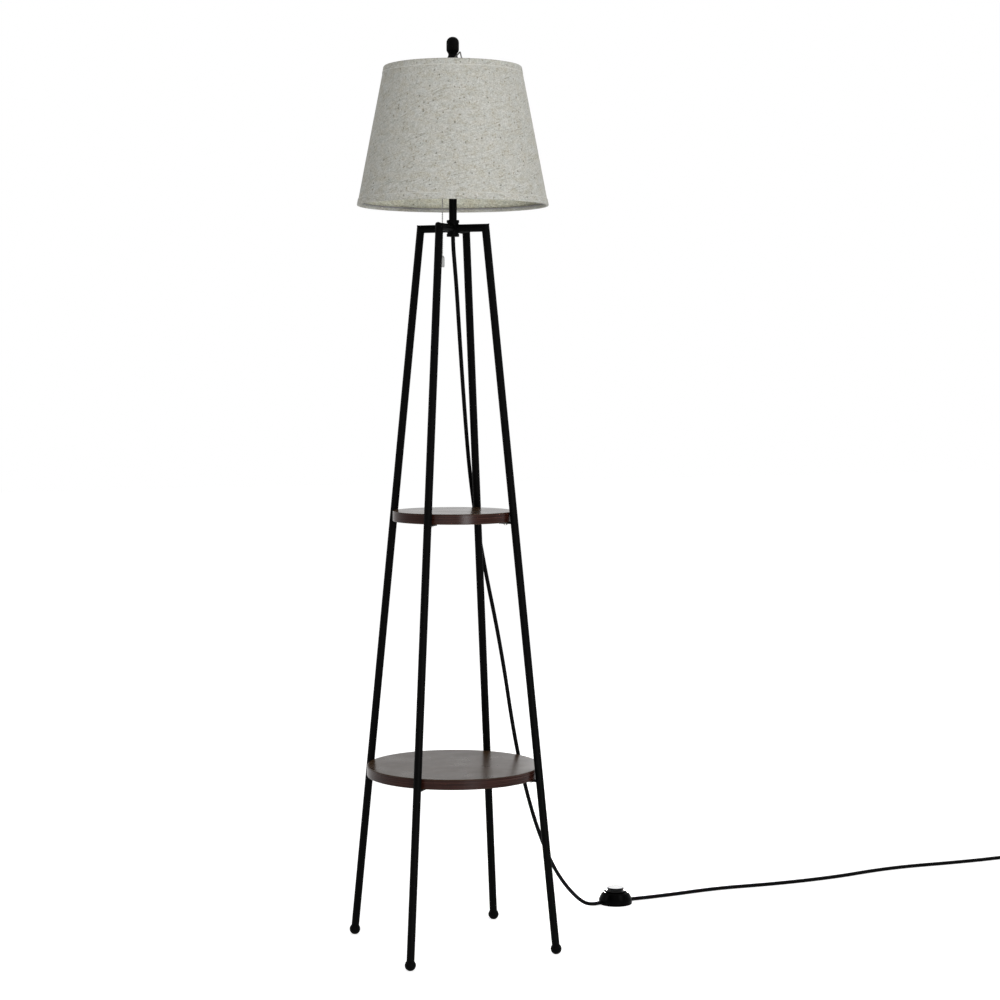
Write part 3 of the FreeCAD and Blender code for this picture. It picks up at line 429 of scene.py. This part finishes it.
def makeBulbGlass():
    # frosted from inside with a fine powder
    material, tree, shader = newMaterial("frostedGlass", roughness=glassLook["roughness"],
                                         specular=0.5, transmission=glassLook["clearness"],
                                         ior=glassLook["ior"])
    powder = noise(tree, objectSpace(tree), glassLook["powderScale"], 4)
    link(tree, between(tree, powder, *glassLook["powderTones"]), shader, "color")
    addBump(tree, shader, powder, 0.03, 0.0001)
    return material


blackCoat = makeBlackCoat()
upperBoardTop = makeBoardTop("upperBoardTop", boardLook["upperPolish"])
lowerBoardTop = makeBoardTop("lowerBoardTop", boardLook["lowerPolish"])
edgeWood = makeEdgeWood()
linen = makeLinen("slubLinen", linenLook["outsideTint"])
bandLinen = makeLinen("bandLinen", linenLook["outsideTint"], banded=True)
# the inside of the shade is the same linen painted paler: painted light standing in for light
# that shines through the cloth
paintedLightLining = makeLinen("shadeLiningPaintedLight", linenLook["liningPaintedLightTint"])
finish = {name: makePlastic(name, **look) for name, look in plastics.items()}
finish.update({name: makeMetal(name, *look) for name, look in metals.items()})
frosted = makeBulbGlass()
print("finishes made")

# the solid pieces keep their shape and get their finish
sides = ("front_left", "front_right", "back_left", "back_right")
wear(*["leg_" + side for side in sides], *["arm_" + side for side in sides],
     *["foot_ball_" + side for side in sides], "hub", "stem_tube", "shelf_tabs_upper",
     "shelf_tabs_lower", "finial", material=blackCoat)
wear("shelf_upper", material=upperBoardTop)
wear("shelf_lower", material=lowerBoardTop)
wear("threaded_rod", "rod_lock_nut", "harp_saddle", "harp_wire_left", "harp_wire_right",
     "harp_sleeves", "harp_crown", "harp_stud", "spider_washer",
     "shade_ring_top", "shade_ring_bottom", "shelf_screws_upper", "shelf_screws_lower",
     "switch_screws", material=finish["zincPlate"])
wear("pull_chain", material=finish["chainNickel"])
wear("spider_arms", material=finish["spiderSteel"])
wear("pull_fob", material=finish["fobPlastic"])
wear("socket_cap", "socket_shell", "chain_spout", "screw_shell", "centre_contact",
     "switch_contacts", "plug_blades", material=finish["socketBrass"])
wear("socket_insulator", "socket_block", "cord_bushing", material=finish["darkPhenolic"])
wear("bulb_glass", material=frosted)
wear("bulb_base", material=finish["bulbCapMetal"])
wear("switch_base", "switch_cover", material=finish["switchPlastic"])
wear("switch_button", material=finish["buttonPlastic"])
print("CAD pieces finished")

cordSizes = {
    "diameter": 0.0067,
    "upper": [
        (0, 0, 1.1717), (0, 0, 1.149), (0.0039, 0.0026, 1.117), (0.0113, 0.0119, 1.077),
        (0.0231, 0.0289, 1.006), (0.0364, 0.0473, 0.926), (0.0509, 0.0668, 0.846),
        (0.061, 0.0794, 0.792), (0.0704, 0.0887, 0.745), (0.079, 0.0934, 0.7),
        (0.0874, 0.0922, 0.655), (0.0972, 0.0876, 0.595), (0.1102, 0.0786, 0.52),
        (0.1218, 0.0696, 0.44), (0.1307, 0.0625, 0.365), (0.1409, 0.0564, 0.298),
        (0.1544, 0.0537, 0.238), (0.1732, 0.0592, 0.182), (0.1985, 0.0735, 0.13),
        (0.226, 0.0925, 0.087), (0.2495, 0.1087, 0.059), (0.2678, 0.121, 0.0405),
        (0.2842, 0.1302, 0.0253), (0.2985, 0.136, 0.0138), (0.312, 0.1392, 0.0059),
        (0.3265, 0.1412, 0.0034), (0.33884, 0.14323, 0.004), (0.34883, 0.14375, 0.004)],
    "lower": [
        (0.39277, 0.14605, 0.004), (0.41075, 0.14699, 0.004), (0.428, 0.1479, 0.0035),
        (0.454, 0.149, 0.0034), (0.498, 0.1514, 0.0034), (0.558, 0.1576, 0.0034),
        (0.614, 0.1576, 0.0034), (0.676, 0.1506, 0.0034), (0.762, 0.1484, 0.0034),
        (0.846, 0.154, 0.0034), (0.924, 0.1684, 0.0034), (1, 0.1736, 0.0034),
        (1.088, 0.1664, 0.0034), (1.168, 0.1634, 0.0034), (1.226, 0.166, 0.0034),
        (1.276, 0.158, 0.0034), (1.318, 0.134, 0.0035), (1.34, 0.098, 0.004),
        (1.345, 0.066, 0.0054), (1.344, 0.036, 0.007), (1.344, 0.006, 0.007)],
    "upperLength": 1.297,
    "lowerLength": 1.067,
    "stepsAlong": 10, "roundness": 5,
}


def makeCord(name, points, node):
    curve = bpy.data.curves.new(name, "CURVE")
    curve.dimensions = "3D"
    spline = curve.splines.new("NURBS")
    spline.points.add(len(points) - 1)
    for spot, point in zip(spline.points, points):
        spot.co = (*point, 1)
    spline.order_u = 3
    spline.use_endpoint_u = True
    curve.resolution_u = cordSizes["stepsAlong"]
    curve.bevel_depth = cordSizes["diameter"] / 2
    curve.bevel_resolution = cordSizes["roundness"]
    curve.use_fill_caps = True
    curve.materials.append(finish["cordVinyl"])
    cord = bpy.data.objects.new(name, curve)
    bpy.context.scene.collection.objects.link(cord)
    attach(cord, "root")
    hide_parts(node)
    return cord


upperCord = makeCord("upperCord", cordSizes["upper"], "cord_upper")
lowerCord = makeCord("lowerCord", cordSizes["lower"], "cord_lower")
print("cords laid")

# plug: moulded body with finger grips and a ringed strain relief
plugSizes = {
    "start": (1.344, 0.006, 0.007),   # where the cord enters; the plug points towards -Y
    "reliefLength": 0.026,
    "neck": 0.0039, "neckGrowth": 0.0017, "ringDepth": 0.0004,
    "bodyLength": 0.034,
    "shoulder": 0.0056,
    "halfWidth": 0.012,
    "halfThickness": 0.007,
    "gripDepth": 0.0013, "endRound": 0.0009,
    "roundSteps": 48, "stations": 90,
}


def plugSection(along):
    # half width, half thickness and squareness of the plug at a distance from the cord
    relief, shoulder = plugSizes["reliefLength"], plugSizes["shoulder"]
    if along < relief:
        radius = plugSizes["neck"] + plugSizes["neckGrowth"] * (along / relief)
        if 0.003 < along < relief - 0.002:
            # rings 3 mm wide, grooves 2 mm wide
            radius += plugSizes["ringDepth"] * (1 if (along * 1000) % 5 < 3 else -1)
        return radius, radius, 2.0
    share = (along - relief) / plugSizes["bodyLength"]
    rise = min(1, share / 0.14) ** 0.6
    fall = min(1, (1 - share) / 0.05) ** 0.5
    width = shoulder + (plugSizes["halfWidth"] - shoulder) * rise
    thick = shoulder + (plugSizes["halfThickness"] - shoulder) * rise
    middle = min(1, max(0, (share - 0.12) / 0.7))
    grip = plugSizes["gripDepth"] * math.sin(math.pi * middle) ** 2
    edge = plugSizes["endRound"] * (1 - fall)
    return width - grip - edge, thick - edge, 2 + 2.6 * rise


def makePlug():
    length = plugSizes["reliefLength"] + plugSizes["bodyLength"]
    count = plugSizes["stations"]
    stations = [length * index / count for index in range(count + 1)]
    # a few more close to both ends, for crisp corners
    stations[1:1] = [0.0004]
    stations[-1:] = [length - 0.0006, length - 0.0002, length]
    x0, y0, z0 = plugSizes["start"]
    steps = plugSizes["roundSteps"]
    vertices = []
    for along in stations:
        width, thick, square = plugSection(along)
        for step in range(steps):
            angle = 2 * math.pi * step / steps
            c, s = math.cos(angle), math.sin(angle)
            across = math.copysign(abs(c) ** (2 / square), c) * width
            height = math.copysign(abs(s) ** (2 / square), s) * thick
            vertices.append((x0 + across, y0 - along, z0 + height))
    faces = skinFaces(len(stations), steps, closed=False, turned=True)
    faces.append(tuple(range(steps)))
    faces.append(tuple(reversed(range(len(vertices) - steps, len(vertices)))))
    plug = meshPiece("plugMoulding", vertices, faces, finish["switchPlastic"], "root", 35)
    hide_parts("plug_body")
    return plug


plugMoulding = makePlug()
print("plug moulded")

springSizes = {
    "coils": 6, "stepsPerCoil": 28, "firstTurn": 3,
    "radius": 0.0059, "wire": 0.0005, "wireSteps": 8,
    "bottom": 0.0012, "top": 0.027,
    "centre": (0.3708, 0.1449, 0),
    "pressed": 0.845,                 # share of its height with the button down
}


def makeSpring():
    turn = math.radians(springSizes["firstTurn"])
    centre = Vector(springSizes["centre"])
    perCoil, around = springSizes["stepsPerCoil"], springSizes["wireSteps"]
    total = springSizes["coils"] * perCoil
    rise = springSizes["top"] - springSizes["bottom"] - 2 * springSizes["wire"]
    vertices = []
    for index in range(total + 1):
        angle = 2 * math.pi * index / perCoil + turn
        out = Vector((math.cos(angle), math.sin(angle), 0))
        spot = centre + out * springSizes["radius"]
        spot.z = springSizes["bottom"] + springSizes["wire"] + rise * index / total
        for step in range(around):
            lap = 2 * math.pi * step / around
            offset = out * math.cos(lap) + up * math.sin(lap)
            vertices.append(spot + offset * springSizes["wire"])
    faces = skinFaces(total + 1, around, closed=False)
    faces.append(tuple(reversed(range(around))))
    faces.append(tuple(range(len(vertices) - around, len(vertices))))
    spring = meshPiece("buttonSpring", vertices, faces, finish["zincPlate"], "root")
    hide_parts("switch_spring")
    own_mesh(spring)


makeSpring()
print("button spring wound")

shadeSizes = {
    "low": 1.21005, "high": 1.43125,                # cut edges of the linen
    "lowRadius": 0.154462, "highRadius": 0.111238,  # outside of the linen there
    "thickness": 0.0008,
    "seamAngle": 246.24,                            # degrees, lap seam
    "seamWidth": 0.009, "seamStep": 0.00006,
    "seamEdge": 0.0018,                             # radians
    "ripple": (0.00012, 0.00009),                   # broad and fine waves of the cloth
    "anglesAround": 240, "rowsUp": 22,
    "meanRadius": 0.133, "slopeStretch": 1.018,     # lay the cloth's pattern to scale
    "bandHeight": 0.0102, "bandInside": 0.0058,
    "lowerBandThickness": 0.0008, "upperBandThickness": 0.0005,
    "bandWave": (0.00022, 0.00012), "bandSteps": 256,
    "wireRoom": 0.0032,
}


def shadeRadius(height):
    share = (height - shadeSizes["low"]) / (shadeSizes["high"] - shadeSizes["low"])
    widening = shadeSizes["highRadius"] - shadeSizes["lowRadius"]
    return shadeSizes["lowRadius"] + share * widening


def shadeAngles():
    count, edge = shadeSizes["anglesAround"], shadeSizes["seamEdge"]
    seam = math.radians(shadeSizes["seamAngle"])
    width = shadeSizes["seamWidth"] / shadeSizes["meanRadius"]
    angles = [seam + 2 * math.pi * step / count for step in range(count)]
    angles += [seam + edge, seam + width, seam + width + edge]
    return sorted(angles)


def seamLift(angle):
    width = shadeSizes["seamWidth"] / shadeSizes["meanRadius"]
    lap = angle - math.radians(shadeSizes["seamAngle"])
    return shadeSizes["seamStep"] if 0.001 < lap < width + 0.0001 else 0.0


def ripple(angle, height):
    # hand-glued cloth is never a perfect cone
    broad, fine = shadeSizes["ripple"]
    return broad * math.sin(5 * angle + 9 * height) + fine * math.sin(11 * angle - 23 * height)


def addClothCoordinates(piece, spots):
    layer = piece.data.uv_layers.new(name="cloth")
    for loop in piece.data.loops:
        layer.data[loop.index].uv = spots[loop.vertex_index]


def closeSeam(piece):
    # joins the first and last columns, whose cloth coordinates differ
    shape = bmesh.new()
    shape.from_mesh(piece.data)
    bmesh.ops.remove_doubles(shape, verts=shape.verts, dist=0.000002)
    shape.to_mesh(piece.data)
    shape.free()
    smooth(piece, 60)


def makeShadeCloth():
    angles = shadeAngles()
    rows = shadeSizes["rowsUp"]
    seam = math.radians(shadeSizes["seamAngle"])
    vertices, spots, faces = [], [], []
    columns = len(angles) + 1
    for inside in (0, 1):
        for row in range(rows + 1):
            height = shadeSizes["low"] + (shadeSizes["high"] - shadeSizes["low"]) * row / rows
            for angle in [*angles, seam + 2 * math.pi]:
                radius = shadeRadius(height) + ripple(angle, height)
                radius += seamLift(angle) if not inside else -shadeSizes["thickness"]
                vertices.append((radius * math.cos(angle), radius * math.sin(angle), height))
                spots.append(((angle - seam) * shadeSizes["meanRadius"],
                              height * shadeSizes["slopeStretch"] + inside))
    layer = (rows + 1) * columns
    for row in range(rows):
        for column in range(columns - 1):
            a = row * columns + column
            faces.append((a, a + 1, a + columns + 1, a + columns))
            a += layer
            faces.append((a, a + columns, a + columns + 1, a + 1))
    for column in range(columns - 1):
        faces.append((column, column + layer, column + layer + 1, column + 1))
        top = rows * columns + column
        faces.append((top, top + 1, top + layer + 1, top + layer))
    cloth = meshPiece("shadeCloth", vertices, faces, linen, "shade", 60)
    cloth.data.materials.append(paintedLightLining)
    addClothCoordinates(cloth, spots)
    for face in cloth.data.polygons:
        face.material_index = 1 if all(index >= layer for index in face.vertices) else 0
    closeSeam(cloth)
    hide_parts("shade_fabric")


def bandProfile(thick):
    # outside leg, round over the wire, inside leg: (outwards, inwards from the rim)
    inner = -shadeSizes["thickness"] - shadeSizes["wireRoom"]
    high, short = shadeSizes["bandHeight"], shadeSizes["bandInside"]
    return [
        (thick * 0.35, high), (thick, high - 0.0003), (thick, high * 0.5), (thick, 0.0012),
        (thick * 0.7, 0.0002), (-0.0002, -thick * 0.75), (-0.0012, -thick),
        (-0.0028, -thick), (inner + 0.0002, -thick * 0.8), (inner - thick * 0.8, 0.0004),
        (inner - thick, 0.0014), (inner - thick, short - 0.0003),
        (inner - thick * 0.4, short), (inner, short - 0.0002), (inner, 0.0014),
        (inner + 0.0005, 0.0002), (-0.0024, 0.00003), (-0.0012, 0.00003),
        (-0.0003, 0.0002), (0, 0.0012), (0, high * 0.5), (0.00002, high - 0.0002)]


def makeBand(name, rim, direction, thick, node):
    # direction: 1 where the band climbs from its rim, -1 where it hangs from it
    profile = bandProfile(thick)
    count = shadeSizes["bandSteps"]
    broad, fine = shadeSizes["bandWave"]
    vertices, spots = [], []
    length = 0
    travelled = [0]
    for (a, b), (c, d) in zip(profile, profile[1:]):
        length += math.hypot(c - a, d - b)
        travelled.append(length)
    for step in range(count):
        angle = 2 * math.pi * step / count
        wave = broad * math.sin(7 * angle + rim) + fine * math.sin(19 * angle)
        for index, (out, along) in enumerate(profile):
            shift = wave if along > 0.004 else 0
            height = rim + direction * (along + shift)
            radius = shadeRadius(height) + out + ripple(angle, height)
            vertices.append((radius * math.cos(angle), radius * math.sin(angle), height))
            spots.append((angle * shadeSizes["meanRadius"] + 3,
                          travelled[index] + linenLook["bandStart"]))
    faces = skinFaces(count, len(profile), turned=True)
    if direction > 0:
        faces = [tuple(reversed(face)) for face in faces]
    band = meshPiece(name, vertices, faces, bandLinen, "shade", 50)
    addClothCoordinates(band, spots)
    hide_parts(node)


makeShadeCloth()
makeBand("lowerBand", shadeSizes["low"], 1, shadeSizes["lowerBandThickness"],
         "shade_trim_bottom")
makeBand("upperBand", shadeSizes["high"], -1, shadeSizes["upperBandThickness"],
         "shade_trim_top")
print("shade covered")

# glued band round the edge of each board
bandSizes = {
    "upper": (0.0984, 0.7154), "lower": (0.142, 0.2984),   # board radius, height of its top
    "boardThickness": 0.0166, "corner": 0.0011,
    "proud": 0.00015, "chamfer": 0.0003, "tuck": 0.0004,
    "steps": 256,
}


def makeEdgeBand(name, radius, top):
    steps, chamfer = bandSizes["steps"], bandSizes["chamfer"]
    high = top - bandSizes["corner"]
    low = top - bandSizes["boardThickness"] + bandSizes["corner"]
    skin, core = radius + bandSizes["proud"], radius - bandSizes["tuck"]
    profile = [(core, high), (radius, high), (skin, high - chamfer),
               (skin, low + chamfer), (radius, low), (core, low)]
    size = len(profile)
    vertices, grain = [], []
    for step in range(steps):
        angle = 2 * math.pi * step / steps
        left = step * radius * 2 * math.pi / steps
        right = (step + 1) * radius * 2 * math.pi / steps
        for index, (out, height) in enumerate(profile):
            vertices.append((out * math.cos(angle), out * math.sin(angle), height))
            after = profile[(index + 1) % size][1]
            grain += [(left, height), (left, after), (right, after), (right, height)]
    band = meshPiece(name, vertices, skinFaces(steps, size), edgeWood, "root", 20)
    layer = band.data.uv_layers.new(name="grain")
    for loop, spot in zip(layer.data, grain):
        loop.uv = spot


makeEdgeBand("upperEdgeBand", *bandSizes["upper"])
makeEdgeBand("lowerEdgeBand", *bandSizes["lower"])
print("edge bands glued")

# weld beads where the tubes meet
weldSizes = {
    "tube": 0.00635, "barrel": 0.009,     # radii of the tube and the hub
    "armHeight": 1.173, "armReach": 0.0568,
    "lean": 6.0042,                       # degrees of the legs from upright
    "hubBead": 0.0008, "mitreBead": 0.00045,
    "wobble": 0.25, "beadSteps": 8, "ringSteps": 72,
}


def beadTube(points, radius):
    # a closed bead along points, its thickness varying like a weld
    vertices = []
    around, total = weldSizes["beadSteps"], len(points)
    for index, point in enumerate(points):
        along = (points[(index + 1) % total] - points[index - 1]).normalized()
        first = along.orthogonal().normalized()
        if index:
            first = (previous - along * previous.dot(along)).normalized()
        previous = first
        second = along.cross(first)
        uneven = weldSizes["wobble"] * math.sin(index * 1.7) * math.sin(index * 0.6)
        size = radius * (1 + uneven)
        for step in range(around):
            angle = 2 * math.pi * step / around
            vertices.append(point + (first * math.cos(angle) + second * math.sin(angle)) * size)
    return vertices, skinFaces(total, around)


def makeWelds():
    tube, steps = weldSizes["tube"], weldSizes["ringSteps"]
    centre = Vector((0, 0, weldSizes["armHeight"]))
    slope = math.tan(math.radians((90 - weldSizes["lean"]) / 2))
    vertices, faces = [], []
    for angle in (45, 135, 225, 315):
        turn = math.radians(angle)
        out = Vector((math.cos(turn), math.sin(turn), 0))
        side = Vector((-math.sin(turn), math.cos(turn), 0))
        hubRing, mitreRing = [], []
        for step in range(steps):
            lap = 2 * math.pi * step / steps
            across, rise = tube * math.cos(lap), tube * math.sin(lap)
            reach = math.sqrt(weldSizes["barrel"] ** 2 - across ** 2)
            hubRing.append(centre + out * (reach + 0.0002) + side * across * 1.04
                           + up * rise * 1.04)
            corner = weldSizes["armReach"] + rise * slope
            mitreRing.append(centre + out * corner + side * across + up * rise)
        for ring, bead in ((hubRing, "hubBead"), (mitreRing, "mitreBead")):
            more, moreFaces = beadTube(ring, weldSizes[bead])
            faces += [tuple(index + len(vertices) for index in face) for face in moreFaces]
            vertices += more
    welds = meshPiece("weldBeads", vertices, faces, blackCoat, "root", 60)


makeWelds()
print("welds laid")

studio = {
    "floorTone": 0.86, "floorGlow": 0.65, "floorReach": 14,
    "backdrop": 1.0, "worldLight": 0.425,
}


def backdropRays(tree):
    # the rays that see the white backdrop: straight, mirrored and through glass
    rays = addNode(tree, "LightPath")
    mirrored = combine(tree, rays.outputs["Is Camera Ray"], rays.outputs["Is Glossy Ray"],
                       "MAXIMUM")
    return combine(tree, mirrored, rays.outputs["Is Transmission Ray"], "MAXIMUM")


def makeFloor():
    mesh = bpy.data.meshes.new("studioFloor")
    reach = studio["floorReach"]
    corners = [(-reach, -reach, 0), (reach, -reach, 0), (reach, reach, 0), (-reach, reach, 0)]
    mesh.from_pydata(corners, [], [(0, 1, 2, 3)])
    floor = bpy.data.objects.new("studioFloor", mesh)
    bpy.context.scene.collection.objects.link(floor)
    material = bpy.data.materials.new("studioPaper")
    material.use_nodes = True
    tree = material.node_tree
    tree.nodes.clear()
    tone = studio["floorTone"]
    paper = addNode(tree, "BsdfDiffuse", {"Color": (tone, tone, tone, 1)})
    strength = combine(tree, backdropRays(tree), studio["floorGlow"])
    glow = addNode(tree, "Emission", {"Color": (1, 1, 1, 1), "Strength": strength})
    both = addNode(tree, "AddShader", {0: paper.outputs[0], 1: glow.outputs[0]})
    addNode(tree, "OutputMaterial", {"Surface": both.outputs[0]})
    mesh.materials.append(material)


def makeWorld():
    world = bpy.data.worlds.new("studioWorld")
    bpy.context.scene.world = world
    world.use_nodes = True
    tree = world.node_tree
    tree.nodes.clear()
    strength = addNode(tree, "Mix", {0: backdropRays(tree), 2: studio["worldLight"],
                                     3: studio["backdrop"]}, data_type="FLOAT")
    light = addNode(tree, "Background", {"Color": (1, 1, 1, 1),
                                         "Strength": strength.outputs[0]})
    addNode(tree, "OutputWorld", {"Surface": light.outputs[0]})


# a lamp with tall is a rectangle, size wide and tall high; the others are round
lamps = {
    "keyLamp": {"spot": (1.5, -2.6, 2.6), "aim": (0, 0, 0.9), "size": 1.4, "power": 24.5},
    "fillLamp": {"spot": (-2.1, -2.8, 0.6), "aim": (0, 0, 0.5), "size": 2.2, "power": 11,
                 "tall": 0.9},
    "overheadLamp": {"spot": (-0.5, -1.0, 3.6), "aim": (0, 0, 1.3), "size": 1.2, "power": 6},
    # gives the boards their bright streak along the front edge
    "stripLamp": {"spot": (0.1, -3.6, 0.45), "aim": (0, 0, 0.5), "size": 0.9, "power": 47,
                  "tall": 0.6},
    "backLamp": {"spot": (2.8, 1.8, 2.5), "aim": (0, 0, 0.9), "size": 1.4, "power": 17},
    "sideLamp": {"spot": (-3.1, 1.1, 2.1), "aim": (0, 0, 0.9), "size": 1.4, "power": 14},
    # mirrored in the top of the foot switch's button
    "cardLamp": {"spot": (1.72, 2.82, 0.74), "aim": (0.37, 0.145, 0.03), "size": 0.5,
                 "power": 3.0, "tall": 0.5},
    # two narrow lamps behind the foot switch, which whiten its lip at both sides
    "leftGlint": {"spot": (1.0, 2.62, 0.2), "aim": (0.38, 0.147, 0.02), "size": 0.3,
                  "power": 0.55, "spread": 9},
    "rightGlint": {"spot": (1.99, 2.13, 0.2), "aim": (0.38, 0.147, 0.02), "size": 0.3,
                   "power": 0.55, "spread": 9},
}


def makeLamp(name, spot, aim, size, power, tall=None, spread=180):
    lamp = bpy.data.lights.new(name, "AREA")
    lamp.shape = "RECTANGLE" if tall else "DISK"
    lamp.size = size
    if tall:
        lamp.size_y = tall
    lamp.energy = power
    lamp.spread = math.radians(spread)
    holder = bpy.data.objects.new(name, lamp)
    bpy.context.scene.collection.objects.link(holder)
    holder.location = spot
    holder.visible_camera = False
    holder.rotation_euler = (Vector(aim) - Vector(spot)).to_track_quat("-Z", "Y").to_euler()


makeFloor()
makeWorld()
for name, lamp in lamps.items():
    makeLamp(name, **lamp)
bpy.context.scene.view_settings.view_transform = "Standard"
print("studio lit")
